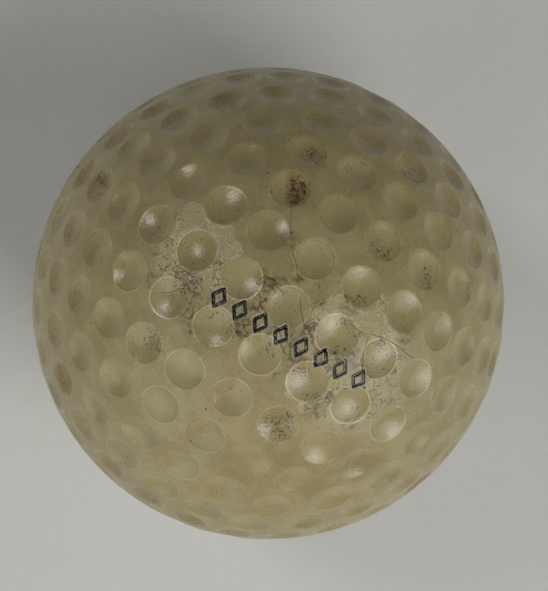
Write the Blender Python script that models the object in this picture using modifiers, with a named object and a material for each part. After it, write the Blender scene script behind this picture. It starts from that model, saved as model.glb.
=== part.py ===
"""A wound golf ball: a dimpled cover in two halves over rubber windings and a paste-filled centre.

Metres, +Z up. The origin is the ball's centre, +Z is the pole of the cover's mould, and the two
halves of the cover meet on the plane z = 0. From the outside in the layers are the cover, the
thread winding, the tape winding, the rubber sac with its plug, and the paste in the sac.
"""

import math

import bmesh
import bpy
from mathutils import Matrix, Vector

MM = 0.001

# Driving sizes: each one can be changed by itself.
BALL_DIAMETER = 42.67 * MM
COVER_THICKNESS = 2.0 * MM
DIMPLE_DIAMETER = 3.20 * MM
DIMPLE_DEPTH = 0.40 * MM
TAPE_THICKNESS = 1.20 * MM
SAC_DIAMETER = 27.0 * MM
SAC_WALL = 1.60 * MM
PLUG_SHANK_DIAMETER = 2.40 * MM
PLUG_HEAD_DIAMETER = 4.20 * MM
PLUG_HEAD_THICKNESS = 0.60 * MM
THREAD_OPENING_DIAMETER = 1.50 * MM

# Clearances between pieces that touch on the real ball.
SEAM_GAP = 0.04 * MM
LAYER_GAP = 0.15 * MM
PLUG_GAP = 0.10 * MM

# The dimple layout of one octant: nested triangular rings, as (inset in half pitches, dimples a side).
RING_HALF_PITCH = math.radians(90 / 16)
RINGS = ((1, 8), (3, 6), (5, 3))

# Facets. A dimple has its rim, one ring at this share of the rim's radius, and its deepest point.
RIM_SIDES = 10
BOWL_RING_SHARE = 0.55
SEAM_SIDES = 96
SPHERE_SEGMENTS = 24
SPHERE_RINGS = 12
PLUG_SIDES = 24

# Radii that follow from the driving sizes, from the outside in.
BALL_RADIUS = BALL_DIAMETER / 2
COVER_INNER_RADIUS = BALL_RADIUS - COVER_THICKNESS
THREAD_OUTER_RADIUS = COVER_INNER_RADIUS - LAYER_GAP
SAC_RADIUS = SAC_DIAMETER / 2
TAPE_INNER_RADIUS = SAC_RADIUS + LAYER_GAP
TAPE_OUTER_RADIUS = TAPE_INNER_RADIUS + TAPE_THICKNESS
THREAD_INNER_RADIUS = TAPE_OUTER_RADIUS + LAYER_GAP
SAC_INNER_RADIUS = SAC_RADIUS - SAC_WALL
PASTE_RADIUS = SAC_INNER_RADIUS - LAYER_GAP


def clear_scene():
    for obj in list(bpy.data.objects):
        bpy.data.objects.remove(obj, do_unlink=True)


def new_collection(name):
    collection = bpy.data.collections.new(name)
    bpy.context.scene.collection.children.link(collection)
    return collection


def new_material(name, colour, roughness, metallic=0.0):
    material = bpy.data.materials.new(name)
    material.use_nodes = True
    shader = material.node_tree.nodes["Principled BSDF"]
    shader.inputs["Base Color"].default_value = (*colour, 1.0)
    shader.inputs["Roughness"].default_value = roughness
    shader.inputs["Metallic"].default_value = metallic
    return material


def add_object(name, mesh, collection, parent=None, material=None):
    obj = bpy.data.objects.new(name, mesh)
    collection.objects.link(obj)
    obj.parent = parent
    if material:
        mesh.materials.append(material)
    return obj


def mesh_from(bm, name):
    mesh = bpy.data.meshes.new(name)
    bm.to_mesh(mesh)
    bm.free()
    return mesh


def sphere_mesh(name, radius):
    bm = bmesh.new()
    bmesh.ops.create_uvsphere(bm, u_segments=SPHERE_SEGMENTS, v_segments=SPHERE_RINGS, radius=radius)
    mesh = mesh_from(bm, name)
    mesh.shade_smooth()
    return mesh


def cut(target, cutter):
    """Takes the cutter out of the target. The cutter stays as a hidden helper."""
    modifier = target.modifiers.new("cut_" + cutter.name, "BOOLEAN")
    modifier.operation = "DIFFERENCE"
    modifier.solver = "EXACT"
    modifier.object = cutter
    cutter.hide_render = True
    cutter.display_type = "WIRE"


def sphere_cutter(name, radius, cutters):
    return add_object(name, sphere_mesh(name, radius), cutters)


def polar_drill(name, radius, low, high, cutters):
    """A round cutter along +Z, from the height low to the height high."""
    bm = bmesh.new()
    bmesh.ops.create_cone(
        bm,
        cap_ends=True,
        segments=PLUG_SIDES,
        radius1=radius,
        radius2=radius,
        depth=high - low,
        matrix=Matrix.Translation((0, 0, (low + high) / 2)),
    )
    return add_object(name, mesh_from(bm, name), cutters)


def ring_directions(inset, count):
    """Unit vectors to one triangular ring of dimples in the octant where x, y and z are positive.

    Each side of the ring runs at the angle inset from one dimple-free plane, with count dimples
    evenly spaced along it. A side leaves its last dimple, at the corner, to the next side.
    """
    corner = math.asin(math.sin(inset) / math.cos(inset))
    step = (math.pi / 2 - 2 * corner) / (count - 1)
    for side in range(3):
        for place in range(count - 1):
            turn = corner + place * step
            x = math.cos(inset) * math.cos(turn)
            y = math.cos(inset) * math.sin(turn)
            z = math.sin(inset)
            yield Vector(((x, y, z), (z, x, y), (y, z, x))[side])


def half_pattern():
    """Unit vectors to the 168 dimples of the upper half, one quarter turn after another."""
    for quarter in range(4):
        turn = Matrix.Rotation(quarter * math.pi / 2, 3, "Z")
        for half_pitches, count in RINGS:
            for direction in ring_directions(half_pitches * RING_HALF_PITCH, count):
                yield turn @ direction


def circle_points(direction, angle, sides):
    """Points on the ball's surface, evenly round the circle that lies angle away from direction."""
    across = direction.cross(Vector((0, 0, 1))).normalized()
    along = across.cross(direction)
    for side in range(sides):
        turn = 2 * math.pi * (side + 0.5) / sides
        outward = across * math.cos(turn) + along * math.sin(turn)
        yield BALL_RADIUS * (direction * math.cos(angle) + outward * math.sin(angle))


def bowl_depth(distance):
    """Depth under the rim's plane at a distance from the dimple's axis: the bowl is part of a sphere."""
    rim = DIMPLE_DIAMETER / 2
    bowl_radius = (rim**2 + DIMPLE_DEPTH**2) / (2 * DIMPLE_DEPTH)
    return math.sqrt(bowl_radius**2 - distance**2) - (bowl_radius - DIMPLE_DEPTH)


def dimpled_half_mesh():
    """A solid upper half ball: the hull of the rims, seam and pole, with each rim's face pushed in."""
    bm = bmesh.new()
    rim_angle = math.asin(DIMPLE_DIAMETER / 2 / BALL_RADIUS)
    rims = [
        {bm.verts.new(point) for point in circle_points(direction, rim_angle, RIM_SIDES)}
        for direction in half_pattern()
    ]
    seam_height = SEAM_GAP / 2
    seam_radius = math.sqrt(BALL_RADIUS**2 - seam_height**2)
    for side in range(SEAM_SIDES):
        turn = 2 * math.pi * side / SEAM_SIDES
        bm.verts.new((seam_radius * math.cos(turn), seam_radius * math.sin(turn), seam_height))
    bm.verts.new((0, 0, BALL_RADIUS))
    bmesh.ops.convex_hull(bm, input=bm.verts[:])

    floors = []
    for rim in rims:
        inside = {face for vert in rim for face in vert.link_faces if rim.issuperset(face.verts)}
        floors += bmesh.ops.dissolve_faces(bm, faces=list(inside))["region"]
    ring_radius = BOWL_RING_SHARE * DIMPLE_DIAMETER / 2
    ring_depth = bowl_depth(ring_radius)
    wall = (DIMPLE_DIAMETER / 2 - ring_radius) * math.cos(math.pi / RIM_SIDES)
    bmesh.ops.inset_individual(bm, faces=floors, thickness=wall, depth=-ring_depth, use_even_offset=True)
    bmesh.ops.poke(bm, faces=floors, offset=ring_depth - DIMPLE_DEPTH)
    bmesh.ops.recalc_face_normals(bm, faces=bm.faces)
    mesh = mesh_from(bm, "cover_half")
    mesh.shade_smooth()
    mesh.set_sharp_from_angle(angle=math.radians(40))
    return mesh


def build_cover(parts, cutters, ball):
    """Both halves share one mesh: half a turn about X brings the upper half to the lower one."""
    material = new_material("cover_balata", (0.47, 0.41, 0.22), 0.42)
    mesh = dimpled_half_mesh()
    mesh.materials.append(material)
    cavity = sphere_cutter("cover_cavity", COVER_INNER_RADIUS, cutters)
    for name, turn in (("cover_upper", 0.0), ("cover_lower", math.pi)):
        half = add_object(name, mesh, parts, ball)
        half.rotation_euler.x = turn
        cut(half, cavity)


def build_hollow_layer(name, outer_radius, inner_radius, material, parts, cutters, ball):
    layer = add_object(name, sphere_mesh(name, outer_radius), parts, ball, material)
    cut(layer, sphere_cutter(name + "_cavity", inner_radius, cutters))
    return layer


def build_thread_winding(parts, cutters, ball):
    """The small opening at the pole stands for the gaps between the threads: it vents the hollow."""
    material = new_material("rubber_thread", (0.62, 0.47, 0.27), 0.65)
    winding = build_hollow_layer(
        "thread_winding", THREAD_OUTER_RADIUS, THREAD_INNER_RADIUS, material, parts, cutters, ball
    )
    opening = THREAD_OPENING_DIAMETER / 2
    cut(winding, polar_drill("thread_opening", opening, SAC_RADIUS, BALL_RADIUS, cutters))


def plug_seat_height():
    """The flat on the sac is as wide as the plug's head with its clearance."""
    return math.sqrt(SAC_RADIUS**2 - (PLUG_HEAD_DIAMETER / 2 + PLUG_GAP) ** 2)


def build_tape_winding(parts, cutters, ball):
    """The tape is wound round the plug's head, which leaves an opening of the head's size."""
    material = new_material("rubber_tape", (0.30, 0.19, 0.11), 0.60)
    winding = build_hollow_layer(
        "tape_winding", TAPE_OUTER_RADIUS, TAPE_INNER_RADIUS, material, parts, cutters, ball
    )
    opening = PLUG_HEAD_DIAMETER / 2 + PLUG_GAP
    cut(winding, polar_drill("tape_opening", opening, SAC_INNER_RADIUS, BALL_RADIUS, cutters))


def build_centre_sac(parts, cutters, ball):
    material = new_material("sac_rubber", (0.035, 0.033, 0.032), 0.50)
    sac = build_hollow_layer(
        "centre_sac", SAC_RADIUS, SAC_INNER_RADIUS, material, parts, cutters, ball
    )
    seat = plug_seat_height()
    cut(sac, polar_drill("plug_seat", PLUG_HEAD_DIAMETER, seat, BALL_RADIUS, cutters))
    shank = PLUG_SHANK_DIAMETER / 2 + PLUG_GAP
    cut(sac, polar_drill("filling_hole", shank, PASTE_RADIUS / 2, BALL_RADIUS, cutters))


def build_sac_plug(parts, ball):
    """A turned stopper: the head lies on the sac's flat and the shank reaches to the sac's inside."""
    under_head = plug_seat_height() + SEAM_GAP
    top = under_head + PLUG_HEAD_THICKNESS
    bevel = PLUG_HEAD_THICKNESS / 3
    head = PLUG_HEAD_DIAMETER / 2
    shank = PLUG_SHANK_DIAMETER / 2
    profile = (
        (0, top),
        (head - bevel, top),
        (head, top - bevel),
        (head, under_head),
        (shank, under_head),
        (shank, SAC_INNER_RADIUS),
        (0, SAC_INNER_RADIUS),
    )
    mesh = bpy.data.meshes.new("sac_plug")
    mesh.from_pydata([(x, 0, z) for x, z in profile], [(i, i + 1) for i in range(len(profile) - 1)], [])
    plug = add_object("sac_plug", mesh, parts, ball, new_material("plug_rubber", (0.10, 0.03, 0.025), 0.55))
    turned = plug.modifiers.new("turned", "SCREW")
    turned.axis = "Z"
    turned.steps = PLUG_SIDES
    turned.render_steps = PLUG_SIDES
    turned.use_merge_vertices = True
    turned.merge_threshold = 0.00001


def build_paste(parts, ball):
    material = new_material("centre_paste", (0.55, 0.53, 0.49), 0.35)
    add_object("centre_paste", sphere_mesh("centre_paste", PASTE_RADIUS), parts, ball, material)


clear_scene()
parts_collection = new_collection("golf_ball")
cutters_collection = new_collection("cutters")
ball_origin = add_object("ball_origin", None, parts_collection)
build_cover(parts_collection, cutters_collection, ball_origin)
build_thread_winding(parts_collection, cutters_collection, ball_origin)
build_tape_winding(parts_collection, cutters_collection, ball_origin)
build_centre_sac(parts_collection, cutters_collection, ball_origin)
build_sac_plug(parts_collection, ball_origin)
build_paste(parts_collection, ball_origin)
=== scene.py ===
import bpy
import numpy as np
from mathutils import Matrix, Vector
from mathutils.geometry import delaunay_2d_cdt


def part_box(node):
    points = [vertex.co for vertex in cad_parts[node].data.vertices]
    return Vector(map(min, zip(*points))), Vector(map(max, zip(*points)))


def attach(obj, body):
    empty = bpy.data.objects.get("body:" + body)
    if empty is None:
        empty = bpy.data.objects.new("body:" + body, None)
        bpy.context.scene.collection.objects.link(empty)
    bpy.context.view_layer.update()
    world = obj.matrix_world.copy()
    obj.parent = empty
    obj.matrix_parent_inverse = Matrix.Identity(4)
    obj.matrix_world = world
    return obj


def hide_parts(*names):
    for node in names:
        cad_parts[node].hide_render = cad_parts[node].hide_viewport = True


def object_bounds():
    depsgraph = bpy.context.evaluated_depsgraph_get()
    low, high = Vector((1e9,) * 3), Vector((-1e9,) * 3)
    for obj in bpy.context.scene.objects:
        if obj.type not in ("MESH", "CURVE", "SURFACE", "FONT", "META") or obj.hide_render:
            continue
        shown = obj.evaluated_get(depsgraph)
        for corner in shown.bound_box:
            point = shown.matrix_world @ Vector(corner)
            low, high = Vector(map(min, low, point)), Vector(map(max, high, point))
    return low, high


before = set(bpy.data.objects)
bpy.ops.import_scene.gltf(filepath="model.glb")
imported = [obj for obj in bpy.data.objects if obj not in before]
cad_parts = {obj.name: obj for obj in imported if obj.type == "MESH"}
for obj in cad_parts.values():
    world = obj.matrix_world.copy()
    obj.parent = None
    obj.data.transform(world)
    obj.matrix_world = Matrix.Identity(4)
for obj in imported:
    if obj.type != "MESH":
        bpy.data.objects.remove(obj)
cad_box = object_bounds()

MM = 0.001

# ---------------------------------------------------------------------------------------------
# Centre paste. The middle of the ball is a stiff, heavy white paste. It was filled into the
# rubber sac and has set with soft folds on its surface.

PASTE_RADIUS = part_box("centre_paste")[1].z
PASTE_FOLD = 0.05 * MM


def ripple(points, size, waves, seed):
    """Smooth unevenness at each point: the mean of many plane sine waves, sin(k.p + phase), whose
    directions are random and whose wavelengths lie round the given size. Most values are in -1..1.
    """
    draw = np.random.default_rng(seed)
    direction = draw.normal(size=(3, waves))
    direction /= np.linalg.norm(direction, axis=0)
    wavelength = size * draw.uniform(0.7, 1.4, waves)
    phase = draw.uniform(0, 2 * np.pi, waves)
    return np.sin(points @ (direction * 2 * np.pi / wavelength) + phase).sum(1) / np.sqrt(waves)


def turned(radii, heights, steps):
    """A profile carried round the Z axis: x = r cos a, y = r sin a, z = h, for even angles a.

    The profile starts and ends on the axis, so each end is one pole. Gives points, quads, triangles.
    """
    angle = np.arange(steps) * 2 * np.pi / steps
    ring = np.asarray(radii)[1:-1, None]
    level = np.asarray(heights)[1:-1, None] + 0 * angle
    body = np.stack([ring * np.cos(angle), ring * np.sin(angle), level], -1).reshape(-1, 3)
    points = np.vstack([body, [[0, 0, heights[0]], [0, 0, heights[-1]]]])
    here = np.arange(len(body)).reshape(-1, steps)
    beside = np.roll(here, -1, axis=1)
    quads = np.stack([here[:-1], beside[:-1], beside[1:], here[1:]], -1).reshape(-1, 4)
    start = np.full(steps, len(body))
    low = np.stack([start, beside[0], here[0]], -1)
    high = np.stack([here[-1], beside[-1], start + 1], -1)
    return points, quads, np.vstack([low, high])


def arc(radius, start, end, count):
    """Radii and heights along an arc about the centre, between two angles up from the horizon."""
    angle = np.radians(np.linspace(start, end, count))
    return radius * np.cos(angle), radius * np.sin(angle)


def make_piece(name, points, quads, triangles, material, slot, replaced):
    """Puts a mesh in the scene, smooth, with its finish, riding on the ball in a CAD node's place."""
    mesh = bpy.data.meshes.new(name)
    corners = np.concatenate([np.ravel(quads), np.ravel(triangles)]).astype(np.int32)
    sizes = np.repeat([4, 3], [len(quads), len(triangles)])
    mesh.vertices.add(len(points))
    mesh.vertices.foreach_set("co", np.ascontiguousarray(points, np.float32).ravel())
    mesh.loops.add(len(corners))
    mesh.loops.foreach_set("vertex_index", corners)
    mesh.polygons.add(len(sizes))
    mesh.polygons.foreach_set("loop_start", np.concatenate([[0], np.cumsum(sizes)[:-1]]).astype(np.int32))
    mesh.update(calc_edges=True)
    mesh.shade_smooth()
    mesh.materials.append(material)
    piece = bpy.data.objects.new(name, mesh)
    bpy.context.scene.collection.objects.link(piece)
    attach(piece, "root")
    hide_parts(replaced)
    return piece


def unevenness_group():
    """Shared by every finish: fine and broad noise in object space, as a tone and a height."""
    group = bpy.data.node_groups.new("unevenness", "ShaderNodeTree")
    group.interface.new_socket("Fine per metre", in_out="INPUT", socket_type="NodeSocketFloat")
    group.interface.new_socket("Broad per metre", in_out="INPUT", socket_type="NodeSocketFloat")
    group.interface.new_socket("Tone", in_out="OUTPUT", socket_type="NodeSocketFloat")
    group.interface.new_socket("Height", in_out="OUTPUT", socket_type="NodeSocketFloat")
    nodes, links = group.nodes, group.links
    entry = nodes.new("NodeGroupInput")
    out = nodes.new("NodeGroupOutput")
    where = nodes.new("ShaderNodeTexCoord")
    fine = nodes.new("ShaderNodeTexNoise")
    fine.inputs["Detail"].default_value = 4
    broad = nodes.new("ShaderNodeTexNoise")
    broad.inputs["Detail"].default_value = 6
    broad.inputs["Roughness"].default_value = 0.6
    for noise, socket in ((fine, "Fine per metre"), (broad, "Broad per metre")):
        links.new(where.outputs["Object"], noise.inputs["Vector"])
        links.new(entry.outputs[socket], noise.inputs["Scale"])
    tone = nodes.new("ShaderNodeMix")
    tone.inputs["Factor"].default_value = 0.35
    links.new(broad.outputs["Fac"], tone.inputs["A"])
    links.new(fine.outputs["Fac"], tone.inputs["B"])
    links.new(tone.outputs["Result"], out.inputs["Tone"])
    links.new(fine.outputs["Fac"], out.inputs["Height"])
    return group


unevenness = unevenness_group()


class Finish:
    """A material with a Principled shader, and short calls for the nodes that feed it."""

    def __init__(self, name, roughness):
        """A new material with one even roughness."""
        self.material = bpy.data.materials.new(name)
        self.material.use_nodes = True
        self.nodes = self.material.node_tree.nodes
        self.links = self.material.node_tree.links
        self.shader = self.nodes["Principled BSDF"]
        self.shader.inputs["Roughness"].default_value = roughness

    def put(self, socket, value):
        """Sets a socket, or links it when the value is another node's output."""
        if isinstance(value, bpy.types.NodeSocket):
            self.links.new(value, socket)
        else:
            socket.default_value = value

    def uneven(self, fine_per_metre, broad_per_metre):
        """The shared unevenness: a tone and a height, both 0 to 1."""
        node = self.nodes.new("ShaderNodeGroup")
        node.node_tree = unevenness
        node.inputs["Fine per metre"].default_value = fine_per_metre
        node.inputs["Broad per metre"].default_value = broad_per_metre
        return node.outputs["Tone"], node.outputs["Height"]

    def place(self):
        """Where on the ball, in metres."""
        return self.nodes.new("ShaderNodeTexCoord").outputs["Object"]

    def noise(self, per_metre, detail=2.0, roughness=0.5):
        """A cloudy value round 0.5, with this many clouds to the metre."""
        node = self.nodes.new("ShaderNodeTexNoise")
        self.links.new(self.place(), node.inputs["Vector"])
        node.inputs["Scale"].default_value = per_metre
        node.inputs["Detail"].default_value = detail
        node.inputs["Roughness"].default_value = roughness
        return node.outputs["Fac"]

    def mask(self, attribute):
        """A value that the mesh holds at each vertex."""
        node = self.nodes.new("ShaderNodeAttribute")
        node.attribute_name = attribute
        return node.outputs["Fac"]

    def math(self, operation, first, second=0.0):
        """One sum of two outputs or numbers."""
        node = self.nodes.new("ShaderNodeMath")
        node.operation = operation
        self.put(node.inputs[0], first)
        self.put(node.inputs[1], second)
        return node.outputs[0]

    def plus(self, total, *others):
        """A sum of outputs and numbers."""
        for other in others:
            total = self.math("ADD", total, other)
        return total

    def times(self, product, *others):
        """A product of outputs and numbers."""
        for other in others:
            product = self.math("MULTIPLY", product, other)
        return product

    def band(self, value, middle, flat, width):
        """1 where the value is within flat of the middle, falling smoothly to 0 at the width."""
        gap = self.math("ABSOLUTE", self.math("SUBTRACT", value, middle))
        return self.ramp(gap, flat, width, 1.0, 0.0)

    def ramp(self, value, low, high, start=0.0, end=1.0):
        """The value's range low..high, stretched smoothly over start..end and held outside it."""
        node = self.nodes.new("ShaderNodeMapRange")
        node.interpolation_type = "SMOOTHSTEP"
        for socket, number in (("Value", value), ("From Min", low), ("From Max", high)):
            self.put(node.inputs[socket], number)
        node.inputs["To Min"].default_value = start
        node.inputs["To Max"].default_value = end
        return node.outputs["Result"]

    def mix(self, factor, first, second, blend="MIX"):
        """Two colours or colour outputs, mixed."""
        node = self.nodes.new("ShaderNodeMix")
        node.data_type = "RGBA"
        node.blend_type = blend
        self.put(node.inputs["Factor"], factor)
        for socket, value in ((node.inputs[6], first), (node.inputs[7], second)):
            self.put(socket, (*value, 1.0) if isinstance(value, tuple) else value)
        return node.outputs[2]

    def bump(self, height, distance):
        """Small relief: a height of 1 stands this far above a height of 0."""
        node = self.nodes.new("ShaderNodeBump")
        node.inputs["Distance"].default_value = distance
        self.links.new(height, node.inputs["Height"])
        self.links.new(node.outputs["Normal"], self.shader.inputs["Normal"])

    def colour(self, value):
        """Sets the base colour."""
        self.put(self.shader.inputs["Base Color"], value)

    def rough(self, value):
        """Sets the roughness."""
        self.put(self.shader.inputs["Roughness"], value)


def paste_finish():
    """Chalky white-grey paste: matt, with a faint damp sheen in places."""
    finish = Finish("centre_paste_finish", 0.6)
    tone, height = finish.uneven(2500, 220)
    finish.colour(finish.mix(finish.ramp(tone, 0.35, 0.65), (0.42, 0.40, 0.36), (0.63, 0.61, 0.56)))
    finish.rough(finish.ramp(tone, 0.3, 0.7, 0.35, 0.7))
    finish.bump(height, 0.03 * MM)
    return finish.material


points, quads, triangles = turned(*arc(PASTE_RADIUS, -90, 90, 90), 160)
points *= 1 - PASTE_FOLD / PASTE_RADIUS * (1 + ripple(points, 7 * MM, 16, 1)[:, None].clip(-1, 1))
make_piece("paste_fill", points, quads, triangles, paste_finish(), "centre_paste", "centre_paste")

# ---------------------------------------------------------------------------------------------
# Centre sac. A moulded black rubber ball with a 1.6 mm wall and a filling hole at the top. Its
# mould leaves a thin flash line round the middle, and the top is spot-faced for the plug.

SAC_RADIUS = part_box("centre_sac")[1].x
SAC_WALL = 1.6 * MM
SAC_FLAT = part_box("centre_sac")[1].z
FILLING_HOLE_RADIUS = 1.3 * MM
FLASH_HEIGHT = 0.06 * MM
FLASH_WIDTH = 0.25 * MM
SAC_SIDES = 160


def sac_profile():
    """Out along the outside from the lower pole to the flat, in over it, and back down the inside."""
    outer, up = arc(SAC_RADIUS, -90, np.degrees(np.arcsin(SAC_FLAT / SAC_RADIUS)), 120)
    outer = outer + FLASH_HEIGHT * np.exp(-((up / FLASH_WIDTH) ** 2))
    lip = FILLING_HOLE_RADIUS + 0.1 * MM * (1 - np.sin(np.linspace(0, np.pi / 2, 4)))
    drop = SAC_FLAT - 0.1 * MM * (1 - np.cos(np.linspace(0, np.pi / 2, 4)))
    inside = SAC_RADIUS - SAC_WALL
    inner, down = arc(inside, np.degrees(np.arccos(FILLING_HOLE_RADIUS / inside)), -90, 60)
    return np.concatenate([outer, lip, inner]), np.concatenate([up, drop, down])


def rubber_finish(name, dark, light, roughness):
    """Moulded or wound rubber: two close tones, dusted with chalk, with a fine matt grain."""
    finish = Finish(name, roughness)
    tone, height = finish.uneven(5000, 400)
    finish.colour(finish.mix(finish.ramp(tone, 0.35, 0.65), dark, light))
    finish.rough(finish.ramp(tone, 0.3, 0.7, roughness - 0.1, roughness + 0.15))
    finish.bump(height, 0.02 * MM)
    return finish.material


sac_rubber = rubber_finish("black_rubber", (0.022, 0.021, 0.020), (0.055, 0.052, 0.048), 0.5)
make_piece("rubber_sac", *turned(*sac_profile(), SAC_SIDES), sac_rubber, "sac_rubber", "centre_sac")

# ---------------------------------------------------------------------------------------------
# Sac plug. A dark red rubber stopper with a flat head, pushed into the filling hole and cemented
# down. Its head has a rounded edge and the dimple that the mould's gate leaves.

PLUG_LOW, PLUG_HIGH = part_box("sac_plug")
PLUG_HEAD_RADIUS = PLUG_HIGH.x
PLUG_SHANK_RADIUS = 1.2 * MM
PLUG_HEAD_UNDERSIDE = PLUG_HIGH.z - 0.6 * MM
PLUG_EDGE = 0.2 * MM


def plug_profile():
    """From the foot of the shank out and up to the head, round its edges, and in to the gate mark."""
    turn = np.linspace(0, np.pi / 2, 5)
    foot = PLUG_SHANK_RADIUS - PLUG_EDGE * (1 - np.sin(turn))
    foot_up = PLUG_LOW.z + PLUG_EDGE * (1 - np.cos(turn))
    under = np.array([PLUG_SHANK_RADIUS, PLUG_SHANK_RADIUS + 0.05 * MM, PLUG_HEAD_RADIUS - 0.05 * MM])
    under_up = np.array([PLUG_HEAD_UNDERSIDE - 0.05 * MM, PLUG_HEAD_UNDERSIDE, PLUG_HEAD_UNDERSIDE])
    edge = PLUG_HEAD_RADIUS - PLUG_EDGE * (1 - np.cos(turn))
    edge_up = PLUG_HIGH.z - PLUG_EDGE * (1 - np.sin(turn))
    gate = np.array([0.5, 0.4, 0.25]) * MM
    gate_up = PLUG_HIGH.z - np.array([0.0, 0.06, 0.1]) * MM
    radii = np.concatenate([[0], foot, under, [PLUG_HEAD_RADIUS], edge, gate, [0]])
    lift = PLUG_HEAD_UNDERSIDE + 0.05 * MM
    heights = np.concatenate([[PLUG_LOW.z], foot_up, under_up, [lift], edge_up, gate_up, [gate_up[-1]]])
    return radii, heights


plug_rubber = rubber_finish("red_rubber", (0.075, 0.018, 0.014), (0.14, 0.038, 0.028), 0.5)
make_piece("rubber_plug", *turned(*plug_profile(), 64), plug_rubber, "plug_rubber", "sac_plug")

# ---------------------------------------------------------------------------------------------
# Tape winding. Brown rubber tape, 5 mm wide, pulled tight round the sac on one great circle
# after another. The last passes ride up over the head of the plug.

TAPE_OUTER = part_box("tape_winding")[1].x
TAPE_INNER = SAC_RADIUS + 0.15 * MM
TAPE_WIDTH = 5.0 * MM
TAPE_GAUGE = 0.35 * MM
TAPE_PASSES = 26
PLUG_CLEAR_RADIUS = PLUG_HEAD_RADIUS + 0.1 * MM


def bed(outer, inner, opening, sides):
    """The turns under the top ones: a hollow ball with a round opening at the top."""
    outside = arc(outer, -90, np.degrees(np.arccos(opening / outer)), sides // 2)
    inside = arc(inner, np.degrees(np.arccos(opening / inner)), -90, sides // 2)
    return turned(np.concatenate([outside[0], inside[0]]), np.concatenate([outside[1], inside[1]]), sides)


def wound_strip(width, gauge, passes, stations, across, low, high, drift):
    """A strip wound on great circles. A circle cos a * u + sin a * v lies square to a normal n that
    drifts a little each pass, and the strip's middle rises evenly from one radius to the other.
    Each section is a top row and a bottom row of points, spread across the width on the ball.
    """
    turns = np.linspace(0, passes, passes * stations)
    yaw = turns * drift
    tip = np.pi / 2 + 1.15 * np.sin(turns * drift * 0.31)
    normal = np.stack([np.sin(tip) * np.cos(yaw), np.sin(tip) * np.sin(yaw), np.cos(tip)], -1)
    u = np.stack([-np.sin(yaw), np.cos(yaw), 0 * yaw], -1)
    v = np.cross(normal, u)
    angle = 2 * np.pi * turns[:, None]
    middle = np.cos(angle) * u + np.sin(angle) * v
    along = np.gradient(middle, axis=0)
    side = np.cross(middle, along)
    side /= np.linalg.norm(side, axis=1)[:, None]
    radius = np.linspace(low, high, len(turns))[:, None, None]
    spread = np.linspace(-width / 2, width / 2, across)[:, None]
    face = middle[:, None] + side[:, None] * spread / high
    face /= np.linalg.norm(face, axis=2)[:, :, None]
    section = np.concatenate([face * (radius + gauge / 2), face[:, ::-1] * (radius - gauge / 2)], 1)
    here = np.arange(len(turns) * 2 * across).reshape(len(turns), 2 * across)
    beside = np.roll(here, -1, axis=1)
    quads = np.stack([here[:-1], here[1:], beside[1:], beside[:-1]], -1).reshape(-1, 4)
    halves = np.arange(across - 1)
    caps = [
        np.stack([row[halves], row[halves + 1], row[-2 - halves], row[-1 - halves]], -1)
        for row in (here[0], here[-1][::-1])
    ]
    return section.reshape(-1, 3), np.vstack([quads, *caps])


def winding(strip, base):
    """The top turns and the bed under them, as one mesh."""
    points, quads = strip
    base_points, base_quads, base_triangles = base
    after = len(points)
    return (
        np.vstack([points, base_points]),
        np.vstack([quads, base_quads + after]),
        base_triangles + after,
    )


def over_plug(strip):
    """Lifts the turns that cross the plug's head, smoothly, so that they ride over it."""
    points, quads = strip
    radius = np.linalg.norm(points, axis=1)
    beside = np.hypot(points[:, 0], points[:, 1]) / PLUG_CLEAR_RADIUS
    near = (1 - np.clip(beside - 1, 0, 1)) * (points[:, 2] > 0)
    lowest = PLUG_HIGH.z + 0.05 * MM + (radius - TAPE_INNER) * 0.25
    lift = np.clip(lowest - radius, 0, None) * near * near * (3 - 2 * near)
    return points * (1 + lift / radius)[:, None], quads


tape_strip = wound_strip(
    TAPE_WIDTH, TAPE_GAUGE, TAPE_PASSES, 72, 7,
    TAPE_INNER + 0.5 * MM, TAPE_OUTER - TAPE_GAUGE / 2, 0.41,
)
tape_bed = bed(TAPE_INNER + 0.55 * MM, TAPE_INNER, PLUG_CLEAR_RADIUS, 128)
tape_rubber = rubber_finish("brown_rubber_tape", (0.17, 0.10, 0.055), (0.33, 0.21, 0.12), 0.55)
make_piece(
    "wound_tape", *winding(over_plug(tape_strip), tape_bed), tape_rubber, "rubber_tape", "tape_winding"
)

# ---------------------------------------------------------------------------------------------
# Thread winding. One natural rubber thread, stretched thin and flat and wound at random great
# circles under tension until the ball has its size. It gives the ball its spring.

THREAD_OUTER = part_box("thread_winding")[1].x
THREAD_INNER = TAPE_OUTER + 0.15 * MM
THREAD_WIDTH = 0.95 * MM
THREAD_GAUGE = 0.22 * MM
THREAD_PASSES = 230
THREAD_OPENING = 0.75 * MM

thread_strip = wound_strip(
    THREAD_WIDTH, THREAD_GAUGE, THREAD_PASSES, 80, 2,
    THREAD_OUTER - 0.75 * MM, THREAD_OUTER - THREAD_GAUGE / 2, 0.37,
)
thread_bed = bed(THREAD_OUTER - 0.5 * MM, THREAD_INNER, THREAD_OPENING, 128)
thread_rubber = rubber_finish("natural_rubber_thread", (0.47, 0.33, 0.17), (0.70, 0.55, 0.33), 0.6)
make_piece(
    "wound_thread", *winding(thread_strip, thread_bed), thread_rubber, "rubber_thread", "thread_winding"
)

# ---------------------------------------------------------------------------------------------
# Cover. Two half-shells of waxy cream-coloured balata, moulded together round the windings. Each
# has 168 round dimples in nested triangles, eight octants to the ball. The cover has yellowed,
# taken up dirt in its dimples, and is scuffed, cut and cracked from play. Its colour also holds
# painted shade in the dimples and inside their rims, and painted sheen and glints near the mark.

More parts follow.
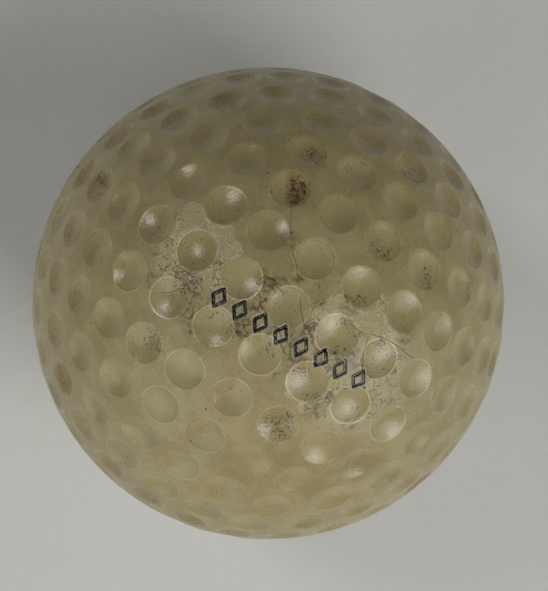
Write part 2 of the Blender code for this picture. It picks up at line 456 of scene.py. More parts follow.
BALL_RADIUS = cad_box[1].z
COVER_INNER_RADIUS = BALL_RADIUS - 2.0 * MM
SEAM_HALF_GAP = 0.02 * MM
SEAM_SIDES = 480
SEAM_BEVEL = 0.035 * MM
DIMPLE_RADIUS = 1.60 * MM
DIMPLE_DEPTH = 0.40 * MM
RIM_SOFTNESS = 0.030 * MM
RIM_ANGLE = np.arcsin(DIMPLE_RADIUS / BALL_RADIUS)
LAND_SPACING = 0.25 * MM
LAND_START = 1.26  # as a share of the rim's radius
LAND_LOWEST = 0.018  # above the seam, as a share of the ball's radius

# The points of one dimple: rings at these shares of the rim's radius, with this many points each.
DIMPLE_RINGS = (
    (0.20, 8), (0.42, 16), (0.62, 24), (0.78, 32), (0.86, 40), (0.92, 40),
    (0.965, 40), (1.01, 40), (1.055, 40), (1.11, 40), (1.19, 40),
)

# The stamped mark: a row of plain diamonds along +X, pressed into the land and inked black.
STAMP_CENTRES = np.arange(-6.9, 5.7, 1.78) * MM
STAMP_CORNERS = np.array([[0.50, 0.0], [0.0, 0.75], [-0.50, 0.0], [0.0, -0.75]]) * MM
STROKE_HALF_WIDTH = 0.14 * MM
STROKE_DEPTH = 0.10 * MM
STROKE_RIDGE = 0.03 * MM
INK_BLOOM = 0.34 * MM
STAMP_REACH = np.array([0.85, 1.10]) * MM

# Cracks and cuts in the upper half, as plan positions in mm, and their half width and depth in mm.
CRACKS = (
    ((-5.7, 8.9), (-5.1, 7.9), (-4.8, 7.0), (-4.1, 6.0), (-3.1, 5.1), (-2.7, 4.4), (-2.0, 3.6),
     (-1.2, 2.4), (-0.7, 1.9), (-0.2, 1.2), (0.3, 0.6), (1.0, -0.3), (1.6, -1.0), (2.2, -1.9)),
    ((2.6, 3.4), (3.2, 3.3), (3.9, 3.2)),
    ((4.6, 3.5), (5.7, 3.7), (7.1, 3.7), (8.2, 3.5), (8.9, 3.5)),
    ((4.5, 2.9), (4.8, 2.2), (5.2, 1.4)),
    ((-6.9, -0.9), (-6.6, -1.3), (-6.7, -1.8)),
    ((-10.7, -2.0), (-10.4, -1.9), (-10.1, -1.5), (-9.8, -1.1), (-9.4, -0.8)),
    ((-11.0, -0.5), (-10.5, -0.5), (-10.1, -0.4)),
    ((-10.8, -0.1), (-10.2, -0.2), (-9.5, -0.3), (-8.9, -0.7)),
    ((-10.6, 0.3), (-10.1, 0.4), (-9.5, 0.3), (-8.9, 0.2), (-8.2, -0.1)),
    ((-8.0, -2.6), (-7.8, -1.8), (-7.5, -1.1)),
    ((-5.0, 3.3), (-4.5, 3.2), (-4.1, 3.4), (-3.6, 2.9), (-3.3, 2.9)),
    ((0.3, 16.9), (0.8, 16.3), (1.4, 15.7), (2.1, 15.5), (2.8, 15.6), (3.4, 16.0)),
    ((5.0, 15.7), (5.6, 15.1), (6.3, 14.8), (7.0, 14.8)),
)
CRACK_HALF_WIDTH = 0.035 * MM
CRACK_DEPTH = 0.06 * MM
CRACK_STEP = 0.09 * MM
CRACK_ROWS = np.array([-2.6, -1, 0, 1, 2.6])  # in half widths off the middle
CRACK_CLEARANCE = 3.2 * CRACK_HALF_WIDTH
CRACKS_REACH = 18 * MM  # no crack lies further out than this in plan
CRACKS_LOWEST = 0.3  # nor lower than this, as a share of the ball's radius


def dimple_axes():
    """Unit vectors to the upper half's dimples. In each octant they lie on three nested triangular
    rings. A side of a ring keeps one angle d from a dimple-free plane, so its dimples are at
    (cos d cos t, cos d sin t, sin d) for even steps of t, and the two other sides swap the axes.
    """
    sides = []
    for half_pitches, count in ((1, 8), (3, 6), (5, 3)):
        inset = np.radians(half_pitches * 90 / 16)
        corner = np.arcsin(np.tan(inset))
        turn = np.linspace(corner, np.pi / 2 - corner, count)[:-1]
        level = np.cos(inset)
        side = np.stack([level * np.cos(turn), level * np.sin(turn), 0 * turn + np.sin(inset)], -1)
        sides += [np.roll(side, swap, axis=1) for swap in range(3)]
    x, y, z = np.vstack(sides).T
    return np.vstack([np.stack(quarter, -1) for quarter in ((x, y, z), (-y, x, z), (-x, -y, z), (y, -x, z))])


def off_axis(axes, angle, turn):
    """Unit vectors at an angle from each axis, at every turn round it: axes x turns x 3."""
    across = np.cross(axes, [0, 0, 1])
    across /= np.linalg.norm(across, axis=1)[:, None]
    along = np.cross(across, axes)
    outward = across[:, None] * np.cos(turn)[:, None] + along[:, None] * np.sin(turn)[:, None]
    return axes[:, None] * np.cos(angle) + outward * np.sin(angle)


def plan_to_ball(plan):
    """Plan positions in metres, seen from above the pole, as unit vectors on the upper half."""
    flat = np.asarray(plan) / BALL_RADIUS
    return np.column_stack([flat, np.sqrt(1 - (flat**2).sum(1))])


def smooth_path(corners, step):
    """Points at even steps along a polyline whose corners are cut twice, each at its quarter points."""
    path = np.asarray(corners, float) * MM
    for _ in range(2):
        cut = np.stack([0.75 * path[:-1] + 0.25 * path[1:], 0.25 * path[:-1] + 0.75 * path[1:]], 1)
        path = np.vstack([path[:1], cut.reshape(-1, 2), path[-1:]])
    run = np.concatenate([[0], np.cumsum(np.linalg.norm(np.diff(path, axis=0), axis=1))])
    even = np.linspace(0, run[-1], int(run[-1] / step) + 2)
    return np.column_stack([np.interp(even, run, path[:, 0]), np.interp(even, run, path[:, 1])])


crack_lines = [smooth_path(corners, CRACK_STEP) for corners in CRACKS]


def crack_rows():
    """Rows of points on each crack and on both sides of it, so that the mesh has edges along it."""
    rows = []
    for line in crack_lines:
        along = np.gradient(line, axis=0)
        side = np.column_stack([-along[:, 1], along[:, 0]]) / np.linalg.norm(along, axis=1)[:, None]
        rows += [line + side * offset for offset in CRACK_ROWS * CRACK_HALF_WIDTH]
    return np.vstack(rows)


def stamp_grid():
    """A close grid of plan positions over each stamped diamond and a little way round it."""
    across, along = (np.linspace(-1, 1, count) * reach for count, reach in zip((27, 35), STAMP_REACH))
    x, y = np.meshgrid(across, along)
    return np.vstack([np.column_stack([centre + x.ravel(), y.ravel()]) for centre in STAMP_CENTRES])


def stroke_distance(unit):
    """How far outside the nearest stroke each point lies, in metres: below zero is in the stroke.
    A stroke runs from one corner of a diamond to the next, and its ends are round."""
    x, y = unit[:, :2].T * BALL_RADIUS
    centre = STAMP_CENTRES[np.abs(x[:, None] - STAMP_CENTRES).argmin(1)]
    place = np.column_stack([x - centre, y])
    gaps = []
    for start, end in zip(STAMP_CORNERS, np.roll(STAMP_CORNERS, -1, axis=0)):
        run = end - start
        part = np.clip((place - start) @ run / (run @ run), 0, 1)
        gaps.append(np.linalg.norm(place - start - part[:, None] * run, axis=1))
    return np.where(unit[:, 2] > 0, np.min(gaps, axis=0) - STROKE_HALF_WIDTH, BALL_RADIUS)


def near_stamp(unit):
    """Which points lie over the grid of a stamped diamond."""
    x = unit[:, 0] * BALL_RADIUS
    sideways = np.abs(x[:, None] - STAMP_CENTRES).min(1)
    return (sideways < STAMP_REACH[0] * 1.05) & (np.abs(unit[:, 1]) * BALL_RADIUS < STAMP_REACH[1] * 1.05)


def half_points(axes, marked):
    """Unit vectors to every point of the upper half: dimple rings, lands, seam, and any marks."""
    rings = [axes]
    for place, (share, count) in enumerate(DIMPLE_RINGS):
        turn = (np.arange(count) + 0.5 * (place % 2)) * 2 * np.pi / count
        rings.append(off_axis(axes, share * RIM_ANGLE, turn).reshape(-1, 3))
    dimples = np.vstack(rings)
    total = int(2 * np.pi * BALL_RADIUS**2 / LAND_SPACING**2)
    height = (np.arange(total) + 0.5) / total
    turn = np.arange(total) * np.pi * (3 - np.sqrt(5))
    level = np.sqrt(1 - height**2)
    spiral = np.column_stack([level * np.cos(turn), level * np.sin(turn), height])
    on_land = (spiral @ axes.T).max(1) < np.cos(LAND_START * RIM_ANGLE)
    land = spiral[on_land & (height > LAND_LOWEST)]
    general = np.vstack([dimples, land])
    if marked:
        fine = plan_to_ball(crack_rows())
        fine = np.vstack([fine[~near_stamp(fine)], plan_to_ball(stamp_grid())])
        plan = general[:, :2] * BALL_RADIUS
        cracks = np.vstack(crack_lines)
        near = np.flatnonzero((np.abs(plan) < CRACKS_REACH).all(1) & (general[:, 2] > CRACKS_LOWEST))
        gap = np.array([np.hypot(*(cracks - point).T).min() for point in plan[near]])
        crowded = np.zeros(len(general), bool)
        crowded[near[gap < CRACK_CLEARANCE]] = True
        crowded |= near_stamp(general) & (general[:, 2] > 0)
        general = np.vstack([general[~crowded], fine])
    turn = np.arange(SEAM_SIDES) * 2 * np.pi / SEAM_SIDES
    seam = []
    for row, above in enumerate((SEAM_HALF_GAP, 0.06 * MM, 0.13 * MM, 0.25 * MM)):
        z = above / BALL_RADIUS
        level = np.sqrt(1 - z * z)
        swing = turn + 0.5 * (row % 2) * turn[1]
        seam.append(np.column_stack([level * np.cos(swing), level * np.sin(swing), 0 * turn + z]))
    return np.vstack([seam[0], general, *seam[1:]])


def triangulated(unit):
    """Delaunay triangles on the ball: a stereographic map, (x, y) / (1 + z), keeps circles, so the
    flat triangulation of the mapped points is also the right one on the sphere."""
    flat = unit[:, :2] / (1 + unit[:, 2:])
    found, _, faces, _, _, _ = delaunay_2d_cdt(flat.tolist(), [], [], 0, 1e-9, False)
    flat = np.array([tuple(point) for point in found])
    square = (flat**2).sum(1, keepdims=True)
    return np.hstack([2 * flat, 1 - square]) / (1 + square), np.array(faces)


def soft_step(value):
    """0 below zero, 1 above one, and smooth between."""
    value = np.clip(value, 0, 1)
    return value * value * (3 - 2 * value)


def rim_shares(unit, axes):
    """Each point's distance from its nearest dimple axis, as a share of the rim, and which one."""
    closeness = unit @ axes.T
    nearest = closeness.argmax(1)
    return np.arccos(np.clip(closeness.max(1), -1, 1)) / RIM_ANGLE, nearest


def surface_height(unit, share):
    """Height over the plain ball. A dimple sinks by s = depth * (1 - share^2), and the rim is
    rounded by taking (s + sqrt(s^2 + softness^2)) / 2. Wear adds low waves."""
    sink = DIMPLE_DEPTH * (1 - share**2)
    height = -(sink + np.sqrt(sink**2 + RIM_SOFTNESS**2)) / 2
    height -= SEAM_BEVEL * np.exp(-((unit[:, 2] * BALL_RADIUS / (0.05 * MM)) ** 2))
    height += 0.006 * MM * ripple(unit * BALL_RADIUS, 4 * MM, 24, 5)
    height += 0.0025 * MM * ripple(unit * BALL_RADIUS, 1.1 * MM, 30, 6)
    return height


def crack_closeness(unit):
    """1 on a crack's line and 0 from its half width outwards."""
    cracks = np.vstack(crack_lines)
    plan = unit[:, :2] * BALL_RADIUS
    lowest, highest = cracks.min(0) - MM, cracks.max(0) + MM
    close_by = ((plan > lowest) & (plan < highest)).all(1)
    near = np.flatnonzero(close_by & (unit[:, 2] > CRACKS_LOWEST))
    close = np.zeros(len(unit))
    for block in np.array_split(near, 40):
        gap = np.hypot(*(plan[block][:, None] - cracks[None]).transpose(2, 0, 1)).min(1)
        close[block] = np.clip(1 - gap / CRACK_HALF_WIDTH, 0, 1)
    return close


def mark_height(unit):
    """The stamp's strokes, pressed in with a low ridge round each, and the cracks' grooves."""
    distance = stroke_distance(unit)
    pressed = -STROKE_DEPTH * soft_step(0.5 - distance / (0.12 * MM))
    ridge = STROKE_RIDGE * np.exp(-(((distance - 0.10 * MM) / (0.07 * MM)) ** 2))
    return pressed + ridge - CRACK_DEPTH * crack_closeness(unit)


def ink_cover(distance):
    """How much ink the stamp left: most along a stroke's edges, where it was pressed out."""
    inside = soft_step(0.5 - distance / (0.10 * MM))
    edge = np.exp(-(((distance + 0.02 * MM) / (0.06 * MM)) ** 2))
    return inside * (0.56 + 0.44 * edge)


# Where the lacquer has flaked to a pale, chalky skin, whose paler colour also paints in the lamps' sheen on
# the rough land: plan x, y and radius in mm.
PEELED_AND_SHEEN = (
    (-11.4, 4.3, 1.3), (-10.1, 5.0, 1.2), (-11.8, 2.9, 1.2), (-9.1, 4.2, 1.4), (-11.9, 1.4, 1.2),
    (-7.9, 3.4, 1.3), (-11.4, 0.1, 1.3), (-8.2, 1.6, 1.3), (-9.4, 0.8, 1.2), (-10.6, -1.3, 0.9),
    (-9.8, -2.2, 0.7), (-7.8, 0.6, 0.8), (1.0, 4.0, 1.2), (0.4, 2.8, 1.0), (2.4, 3.9, 1.3),
    (3.5, 3.7, 1.3), (4.3, 4.4, 1.4), (5.3, 4.2, 1.3), (6.4, 3.5, 1.3), (6.1, 4.7, 1.0),
    (7.6, 2.3, 1.1), (7.6, 0.9, 1.0), (4.0, 6.0, 0.8), (3.8, -1.3, 1.1), (4.9, -1.8, 1.2),
    (3.2, -0.9, 0.9), (6.3, -1.0, 1.2), (4.4, -3.0, 0.9), (1.6, -3.2, 0.9), (6.6, -3.2, 1.0),
    (3.0, -3.9, 0.7), (0.3, 1.5, 0.8), (2.9, 1.1, 0.7), (-13.9, 1.9, 0.8),
)
# Dark smears of dirt on the lands: plan x, y and radius in mm.
SMEARED = (
    (-4.4, 2.8, 1.2), (-5.1, 3.0, 1.0), (-3.3, 3.3, 0.9), (-4.2, -0.9, 1.4), (-5.3, 0.7, 1.4),
    (2.3, 0.9, 1.2), (2.2, -0.6, 1.2), (-8.9, -0.9, 1.3), (-8.6, -2.4, 1.2), (-4.6, 6.4, 1.0),
    (0.2, 1.3, 1.1), (4.2, 1.1, 1.1), (7.2, 4.6, 0.9), (-2.4, -1.2, 1.3), (0.6, -1.1, 1.2),
    (3.9, -3.7, 1.2), (-6.8, -0.8, 1.2), (-9.6, -1.6, 1.0), (5.8, 0.8, 1.1), (7.4, -1.0, 1.0),
    (-9.2, 0.2, 0.9), (6.9, -3.4, 1.0), (2.0, 4.4, 1.0), (-2.6, 4.6, 1.0), (-7.3, -3.2, 0.9),
)
# Patches where dark grit has lodged: plan x, y and radius in mm.
GRITTY = (
    (1.6, 9.1, 1.1), (2.6, 9.3, 1.0), (6.6, 10.1, 0.6), (6.9, 9.5, 0.6), (7.1, 8.8, 0.6),
    (1.6, 4.9, 0.9), (2.5, 5.2, 0.9), (10.9, 10.6, 0.6), (11.4, 9.9, 0.7), (4.2, 5.8, 0.9),
    (-2.7, 13.7, 0.6), (-1.8, 14.5, 0.5), (-4.9, 12.9, 1.0), (-6.0, 13.1, 0.9), (2.1, -6.3, 1.7),
    (-9.4, -5.6, 1.2), (-8.6, -5.9, 0.5),
    (-0.4, 12.6, 0.3), (-1.0, 4.4, 0.6), (-0.3, 3.6, 0.7), (2.2, 3.2, 0.8), (3.6, 2.9, 0.7),
    (5.6, 3.2, 0.8), (7.6, 3.2, 0.8), (3.2, -3.2, 1.0), (4.6, -2.4, 0.8), (6.9, -2.2, 0.9),
    (-4.5, 2.9, 1.2), (-3.2, 2.6, 0.8), (-8.9, -0.9, 1.0), (-9.9, -0.5, 0.9), (-18.9, 2.6, 0.9),
    (1.6, 15.6, 0.7), (2.6, 15.4, 0.7), (-12.4, 3.4, 0.5), (-12.0, 1.6, 0.5), (-1.6, -1.4, 1.0),
    (1.2, -1.8, 0.9), (-4.6, -1.2, 1.0), (4.9, 1.2, 0.8), (2.9, 1.2, 0.9), (0.2, 1.6, 0.8),
)
# Dimples that hold dirt: plan x, y in mm, and how much.
SOILED = (
    (-6.4, 9.6, 1.0), (2.1, -6.3, 0.35), (-9.8, -6.2, 0.2), (-6.2, 12.9, 0.2), (2.0, 10.0, 0.15),
    (9.8, -6.2, 0.35), (-6.1, 15.5, 0.35), (6.8, 9.2, 0.12), (-18.9, 2.5, 0.6), (-13.0, 13.4, 0.6),
    (-15.8, 11.4, 0.6), (-17.0, 7.4, 0.5), (-18.1, 4.4, 0.55), (5.5, 14.9, 0.4), (1.3, 15.0, 0.4),
    (2.1, 16.6, 0.5), (-2.8, 11.2, 0.15), (6.0, 2.1, 0.3),
)
# The scuffed row, between two plan x along the mark, and how wide it is.
SCUFFED_ROW = (-9.5 * MM, 6.5 * MM)
SCUFFED_WIDTH = 3 * MM
# The dimple whose soil is caked on one side, in plan, and the direction to that side.
CAKED_DIMPLE = (-6.4 * MM, 9.6 * MM)
CAKED_SIDE = np.array([0.85, 0.51, 0.1])


def spread(unit, spots):
    """1 at the middle of the nearest spot, falling to 0 at its radius, on the upper half."""
    spots = np.array(spots) * MM
    plan = unit[:, None, :2] * BALL_RADIUS - spots[None, :, :2]
    closeness = (1 - np.hypot(plan[..., 0], plan[..., 1]) / spots[:, 2]).max(1).clip(0)
    return np.where(unit[:, 2] > 0.2, closeness, 0)


def scuffing(unit):
    """How scuffed the land is: exp(-(gap / width)^2) for the gap to the scuffed row in plan."""
    x, y = unit[:, :2].T * BALL_RADIUS
    gap = np.hypot(x - x.clip(*SCUFFED_ROW), y)
    return np.where(unit[:, 2] > 0, np.exp(-((gap / SCUFFED_WIDTH) ** 2)), 0)


def soil_and_shade_amounts(axes, seed):
    """How dark each dimple is: a little dirt at random, more near the ball's middle, where it is dirt and
    painted shade in the recesses, and as listed.
    """
    draw = np.random.default_rng(seed)
    amount = 0.32 * draw.random(len(axes)) ** 2
    # More towards the ball's middle: dirt, and painted shade in the dimples there.
    amount += soft_step((0.74 - np.abs(axes[:, 2])) / 0.3) * (0.20 + 0.35 * draw.random(len(axes)))
    for x, y, given in SOILED:
        listed = plan_to_ball([(x * MM, y * MM)])[0]
        place = (axes @ listed).argmax()
        if axes[place] @ listed > np.cos(RIM_ANGLE):
            amount[place] = given
    return amount


def soil_and_shade_in_dimples(unit, share, nearest, amounts, marked):
    """Soil, with painted shade in the dimples near the ball's middle, lies in the bowls, and thicker in a
    line along the rim.
    The caked dimple of the marked half holds it on one side only, and it rises smoothly across the middle."""
    line = 0.5 * np.exp(-(((share - 0.98) / 0.07) ** 2))
    soil_and_shade = amounts[nearest] * (soft_step((1.04 - share) / 0.3) + line)
    caked = (upper_axes @ plan_to_ball([CAKED_DIMPLE])[0]).argmax()
    offset = (unit - upper_axes[caked]) @ CAKED_SIDE * BALL_RADIUS / DIMPLE_RADIUS
    one_side = soft_step((offset + 0.35) / 0.45)
    return np.where((nearest == caked) & (marked > 0), soil_and_shade * one_side, soil_and_shade)


def add_mask(piece, name, values):
    """A named value at each point of the mesh, for the finish to read."""
    layer = piece.data.attributes.new(name, "FLOAT", "POINT")
    layer.data.foreach_set("value", np.ascontiguousarray(values, np.float32))


def closed_half(unit, faces, height):
    """The dimpled outside, a plain inside, and the flat ring at the seam that joins them."""
    outside = unit * (BALL_RADIUS + height)[:, None]
    seam = np.flatnonzero(unit[:, 2] <= SEAM_HALF_GAP / BALL_RADIUS * 1.01)
    outside[seam, 2] = SEAM_HALF_GAP
    seam = seam[np.argsort(np.arctan2(unit[seam, 1], unit[seam, 0]))]
    turn = np.arctan2(unit[seam, 1], unit[seam, 0])
    radii, heights = arc(COVER_INNER_RADIUS, 0, 90, 12)
    heights = np.maximum(heights, SEAM_HALF_GAP)
    rows = np.stack(
        [radii[:-1, None] * np.cos(turn), radii[:-1, None] * np.sin(turn), heights[:-1, None] + 0 * turn], -1
    )
    points = np.vstack([outside, rows.reshape(-1, 3), [[0, 0, COVER_INNER_RADIUS]]])
    here = np.vstack([seam, len(outside) + np.arange(rows.shape[0] * len(seam)).reshape(-1, len(seam))])
    beside = np.roll(here, -1, axis=1)
    quads = np.stack([here[:-1], here[1:], beside[1:], beside[:-1]], -1).reshape(-1, 4)
    pole = np.full(len(seam), len(points) - 1)
    return points, quads, np.vstack([faces, np.stack([beside[-1], here[-1], pole], -1)])


# The cover's colours, from its clean lands to its ink. Where there are two, it varies between them.
LAND_COLOURS = (0.306, 0.253, 0.116), (0.392, 0.332, 0.166)
BOWL_COLOUR = (0.455, 0.392, 0.206)
# Dark line inside each rim: dirt, and painted shade of the dimple's edge.
RIM_SHADE_AND_DIRT_COLOUR = (0.120, 0.095, 0.045)
# Pale line on each rim: wear, and a painted glint of the rim.
RIM_WEAR_AND_GLINT_COLOUR = (0.620, 0.555, 0.350)
# Pale peeled skin; its paleness also paints in the lamps' sheen on the rough land.
PEELED_AND_SHEEN_COLOURS = (0.425, 0.362, 0.188), (0.585, 0.515, 0.300)
# A painted highlight: the glint in a ring round the dimples where the skin is peeled.
PAINTED_RIM_GLINT_COLOUR = (0.640, 0.580, 0.400)
SMEAR_COLOUR = (0.122, 0.088, 0.027)
FINE_CRACK_COLOUR = (0.090, 0.060, 0.018)
# Soil in the dimples, and the painted shade in those near the ball's middle.
SOIL_AND_SHADE_COLOUR = (0.205, 0.160, 0.070)
STAIN_COLOUR = (0.310, 0.185, 0.058)
CRUST_COLOUR = (0.065, 0.032, 0.011)
GRIT_COLOUR = (0.070, 0.045, 0.016)
FLECK_COLOUR = (0.045, 0.035, 0.022)
CRACK_COLOUR = (0.030, 0.022, 0.013)
BLOOM_COLOUR = (0.430, 0.390, 0.310)
INK_COLOUR = (0.009, 0.006, 0.003)


def land_and_bowls(finish, share, bowl, tone, scuff):
    """Two close tones on the land, cleaner bowls, a dark line inside the rims that is dirt and painted
    shade, and a pale line on the rims that is wear and a painted glint.
    """
    colour = finish.mix(finish.ramp(tone, 0.38, 0.62), *LAND_COLOURS)
    use = finish.math("POWER", scuff, 0.14)
    clean = finish.plus(finish.times(use, 0.26), 0.20)
    colour = finish.mix(finish.times(bowl, clean), colour, BOWL_COLOUR)
    # A dark line inside each rim: dirt, and painted shade for the dimple's shaded edge.
    rim_shade_and_dirt = finish.times(finish.band(share, 0.93, 0.0, 0.055), finish.ramp(tone, 0.36, 0.62, 0.04, 0.32))
    colour = finish.mix(rim_shade_and_dirt, colour, RIM_SHADE_AND_DIRT_COLOUR)
    # A pale line on each rim: worn lacquer, and a painted highlight for the rim's glint.
    rim_wear_and_glint = finish.ramp(finish.noise(420, 4, 0.6), 0.40, 0.58, 0.0, 0.85)
    rim_wear_and_glint = finish.times(rim_wear_and_glint, finish.ramp(use, 0.25, 1.0, 0.18, 1.0))
    return finish.mix(finish.times(finish.band(share, 1.0, 0.0, 0.065), rim_wear_and_glint), colour, RIM_WEAR_AND_GLINT_COLOUR)


def peeled_skin_and_sheen(finish, colour, share, blotch):
    """Patches of pale skin under the flaked lacquer, whose paler colour also paints in the lamps' sheen,
    with a painted glint in a ring round the dimples.
    """
    peel_and_sheen = finish.ramp(finish.plus(finish.mask("peel_and_sheen"), finish.noise(1200, 5, 0.6)), 0.76, 0.98)
    flake = finish.ramp(finish.noise(6500, 5, 0.7), 0.40, 0.64)
    colour = finish.mix(finish.times(peel_and_sheen, 0.85), colour, finish.mix(flake, *PEELED_AND_SHEEN_COLOURS))
    # A painted highlight: a pale ring just outside the rims, where the lamps glint.
    painted_rim_glint = finish.times(finish.band(share, 1.15, 0.02, 0.13), peel_and_sheen, finish.ramp(blotch, 0.42, 0.58))
    return finish.mix(finish.times(painted_rim_glint, 0.7), colour, PAINTED_RIM_GLINT_COLOUR), peel_and_sheen, flake


FINE_CRACK_WANDER = 0.0009  # how much of a cell's place comes from the noise


def fine_cracks(finish, scuff):
    """A net of dirty hairline cracks round the mark: the edges of cells whose places wander."""
    wander = finish.nodes.new("ShaderNodeTexNoise")
    wander.inputs["Scale"].default_value = 1500
    wander.inputs["Detail"].default_value = 3
    shifted = finish.nodes.new("ShaderNodeMix")
    shifted.data_type = "VECTOR"
    shifted.inputs["Factor"].default_value = FINE_CRACK_WANDER
    net = finish.nodes.new("ShaderNodeTexVoronoi")
    net.feature = "DISTANCE_TO_EDGE"
    net.inputs["Scale"].default_value = 950
    place = finish.place()
    finish.links.new(place, wander.inputs["Vector"])
    finish.links.new(place, shifted.inputs[4])
    finish.links.new(wander.outputs["Color"], shifted.inputs[5])
    finish.links.new(shifted.outputs[1], net.inputs["Vector"])
    line = finish.ramp(net.outputs["Distance"], 0.0, 0.09, 1.0, 0.0)
    broken = finish.ramp(finish.noise(700, 4, 0.6), 0.41, 0.55)
    return finish.times(line, finish.ramp(scuff, 0.15, 0.60), broken)


def soiled_bowls(finish, colour, dirt_and_shade, blotch):
    """Brown soil in the dimples, which also paints in shade there, with an orange stain and a dark crust
    where there is most.
    """
    colour = finish.mix(finish.times(dirt_and_shade, 0.42), colour, SOIL_AND_SHADE_COLOUR)
    stain = finish.ramp(finish.plus(dirt_and_shade, finish.times(blotch, 0.5)), 0.62, 1.30)
    colour = finish.mix(finish.times(stain, 0.80), colour, STAIN_COLOUR)
    crust = finish.ramp(finish.plus(finish.times(dirt_and_shade, 0.55), blotch), 1.04, 1.14)
    return finish.mix(finish.times(crust, 0.9), colour, CRUST_COLOUR), stain, crust


def grit_cover(finish, dirt_and_shade, scuff, peel_and_sheen, blotch):
    """Specks of grit: the peaks of a fine noise, and more of them where the cover is worn."""
    lodged = finish.plus(
        finish.times(dirt_and_shade, 0.22),
        finish.noise(5600, 2, 0.55),
        finish.times(scuff, 0.07),
        finish.times(finish.mask("grit"), 0.15),
        finish.times(peel_and_sheen, 0.05),
    )
    return finish.times(finish.ramp(lodged, 0.64, 0.78), finish.ramp(blotch, 0.42, 0.60, 0.25, 0.85))


def fleck_cover(finish):
    """Single dark flecks: a dot in some of a millimetre's cells, each of its own size."""
    cells = finish.nodes.new("ShaderNodeTexVoronoi")
    cells.inputs["Scale"].default_value = 1000
    finish.links.new(finish.place(), cells.inputs["Vector"])
    size = finish.ramp(cells.outputs["Color"], 0.50, 1.0, 0.0, 0.12)
    return finish.math("LESS_THAN", cells.outputs["Distance"], size)


def cover_finish():
    """Aged balata: a waxy, slightly see-through khaki cream under the remains of a clear lacquer."""
    finish = Finish("aged_balata", 0.42)
    finish.shader.inputs["Subsurface Weight"].default_value = 0.45
    finish.shader.inputs["Subsurface Radius"].default_value = (1.0, 0.72, 0.38)
    finish.shader.inputs["Subsurface Scale"].default_value = 0.7 * MM
    finish.shader.inputs["IOR"].default_value = 1.5
    tone, height = finish.uneven(5000, 420)
    grain = finish.noise(9000, 3, 0.6)
    blotch = finish.noise(2300, 5, 0.65)
    share, scuff, dirt_and_shade = finish.mask("share"), finish.mask("scuff"), finish.mask("soil_and_shade")
    bowl = finish.ramp(share, 0.96, 1.12, 1.0, 0.0)

    colour = land_and_bowls(finish, share, bowl, tone, scuff)
    # Pale peeled skin and painted sheen, with a painted glint round the dimples there.
    colour, peel_and_sheen, flake = peeled_skin_and_sheen(finish, colour, share, blotch)
    smear = finish.times(finish.mask("smear"), finish.ramp(blotch, 0.38, 0.66), 0.92)
    colour = finish.mix(smear, colour, SMEAR_COLOUR)
    colour = finish.mix(finish.times(fine_cracks(finish, scuff), 0.85), colour, FINE_CRACK_COLOUR)
    colour, stain, crust = soiled_bowls(finish, colour, dirt_and_shade, blotch)
    colour = finish.mix(grit_cover(finish, dirt_and_shade, scuff, peel_and_sheen, blotch), colour, GRIT_COLOUR)
    colour = finish.mix(finish.times(fleck_cover(finish), 0.8), colour, FLECK_COLOUR)
    colour = finish.mix(finish.ramp(finish.mask("crack"), 0.15, 0.85), colour, CRACK_COLOUR)
    bloom = finish.times(finish.mask("bloom"), finish.ramp(blotch, 0.36, 0.60), 0.45)
    colour = finish.mix(bloom, colour, BLOOM_COLOUR)
    ink = finish.plus(finish.mask("ink"), finish.times(finish.noise(3800, 4, 0.65), 1.1))
    ink = finish.ramp(ink, 0.98, 1.12)
    finish.colour(finish.mix(ink, colour, INK_COLOUR))

    finish.rough(finish.plus(
        finish.ramp(bowl, 0.0, 1.0, 0.36, 0.18),
        finish.times(finish.math("SUBTRACT", grain, 0.5), 0.22),
        finish.times(peel_and_sheen, finish.ramp(blotch, 0.42, 0.60, -0.12, 0.10)),
        finish.times(stain, 0.25),
        finish.times(ink, -0.08),
    ))
    relief = finish.plus(
        finish.times(height, 0.75),
        finish.times(grain, 0.50),
        finish.times(flake, peel_and_sheen, 0.9),
        finish.times(crust, 1.2),
    )
    finish.bump(relief, 0.026 * MM)
    return finish.material


aged_balata = cover_finish()
upper_axes = dimple_axes()
HALF_TURN = np.array([1.0, -1.0, -1.0])

for name, node, side in (("cover_shell_upper", "cover_upper", 1), ("cover_shell_lower", "cover_lower", -1)):
    turn = np.ones(3) if side > 0 else HALF_TURN
    unit, faces = triangulated(half_points(upper_axes, marked=side > 0))
    share, nearest = rim_shares(unit, upper_axes)
    height = surface_height(unit * turn, share)
    if side > 0:
        height = height + mark_height(unit)
    points, quads, triangles = closed_half(unit, faces, height)
    half = make_piece(name, points * turn, quads, triangles, aged_balata, "cover_balata", node)

    marked = float(side > 0)
    bowl = soft_step((1.13 - share) / 0.16)
    distance = stroke_distance(unit)
    amounts = soil_and_shade_amounts(upper_axes * turn, 11 + side)
    masks = {
        "share": np.minimum(share, 2),
        "soil_and_shade": soil_and_shade_in_dimples(unit, share, nearest, amounts, marked),
        # Peeled skin, and painted sheen where the lamps' light falls on the land.
        "peel_and_sheen": marked * soft_step(spread(unit, PEELED_AND_SHEEN) * 1.7) * (1 - bowl),
        "smear": marked * soft_step(spread(unit, SMEARED) * 1.6) * (1 - 0.75 * bowl),
        "crack": marked * crack_closeness(unit),
        "ink": marked * ink_cover(distance),
        "bloom": marked * soft_step(1 - distance / INK_BLOOM),
        "grit": marked * soft_step(spread(unit, GRITTY) * 1.5),
        "scuff": marked * scuffing(unit) * (1 - 0.8 * bowl),
    }
    inside = len(points) - len(unit)
    for mask, values in masks.items():
        add_mask(half, mask, np.concatenate([values, np.zeros(inside)]))

# ---------------------------------------------------------------------------------------------
# Stand and light. The ball lies on a plain pale table, seen from almost straight above. A lamp
# stands on its far side and a window on its near side, and pale walls throw light back.

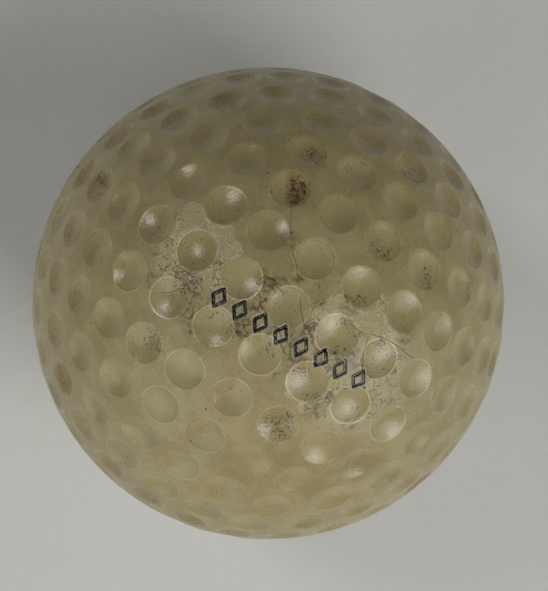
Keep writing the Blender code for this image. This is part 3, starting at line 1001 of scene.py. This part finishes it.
BALL_FLOOR = -BALL_RADIUS
CAMERA_DISTANCE = 5.36 * BALL_RADIUS
TOWARDS_CAMERA = Vector((-0.167, 0.073, 0.983)).normalized()
CAMERA_RIGHT = Vector((0.851, 0.514, 0.106))
CAMERA_UP = TOWARDS_CAMERA.cross(CAMERA_RIGHT).normalized()
CAMERA_RIGHT = CAMERA_UP.cross(TOWARDS_CAMERA)


def table_top():
    """A wide, flat sheet with a fine matt grain."""
    bpy.ops.mesh.primitive_plane_add(size=1.6, location=(0, 0, BALL_FLOOR))
    table = bpy.context.object
    table.name = "table"
    finish = Finish("pale_table", 0.6)
    tone, height = finish.uneven(900, 25)
    finish.colour(finish.mix(finish.ramp(tone, 0.3, 0.7), (0.60, 0.60, 0.575), (0.63, 0.63, 0.605)))
    finish.bump(height, 0.02 * MM)
    table.data.materials.append(finish.material)


def soft_light(name, right, up, towards, distance, size, power, colour):
    """A square lamp placed by the camera's own directions and turned to the ball."""
    data = bpy.data.lights.new(name, "AREA")
    data.size = size
    data.energy = power
    data.color = colour
    lamp = bpy.data.objects.new(name, data)
    bpy.context.scene.collection.objects.link(lamp)
    direction = (CAMERA_RIGHT * right + CAMERA_UP * up + TOWARDS_CAMERA * towards).normalized()
    lamp.location = direction * distance
    lamp.rotation_mode = "QUATERNION"
    lamp.rotation_quaternion = direction.to_track_quat("Z", "Y")


def add_camera():
    """A long lens, almost straight above, with a small shift that sets the ball off the middle."""
    data = bpy.data.cameras.new("camera")
    data.lens = 75.7
    data.sensor_width = 36
    data.shift_x = 0.0097
    data.shift_y = 0.0132
    data.clip_start = 0.01
    camera = bpy.data.objects.new("camera", data)
    bpy.context.scene.collection.objects.link(camera)
    axes = Matrix((CAMERA_RIGHT, CAMERA_UP, TOWARDS_CAMERA)).transposed()
    camera.matrix_world = Matrix.Translation(TOWARDS_CAMERA * CAMERA_DISTANCE) @ axes.to_4x4()
    bpy.context.scene.camera = camera


table_top()
soft_light("far_lamp", -0.51, 0.355, 0.78, 0.80, 0.185, 1.25, (1.0, 0.99, 0.97))
soft_light("near_window", 0.545, -0.555, 0.63, 0.50, 0.27, 0.83, (1.0, 0.99, 0.97))
soft_light("side_wall", 0.77, -0.49, 0.42, 0.70, 0.62, 1.70, (1.0, 1.0, 0.99))
soft_light("fill", -0.62, -0.62, 0.48, 0.34, 0.34, 0.45, (1.0, 1.0, 0.96))
add_camera()
world = bpy.data.worlds.new("room")
world.use_nodes = True
world.node_tree.nodes["Background"].inputs["Color"].default_value = (0.93, 0.96, 1.0, 1.0)
world.node_tree.nodes["Background"].inputs["Strength"].default_value = 0.055
bpy.context.scene.world = world
bpy.context.scene.view_settings.view_transform = "Standard"
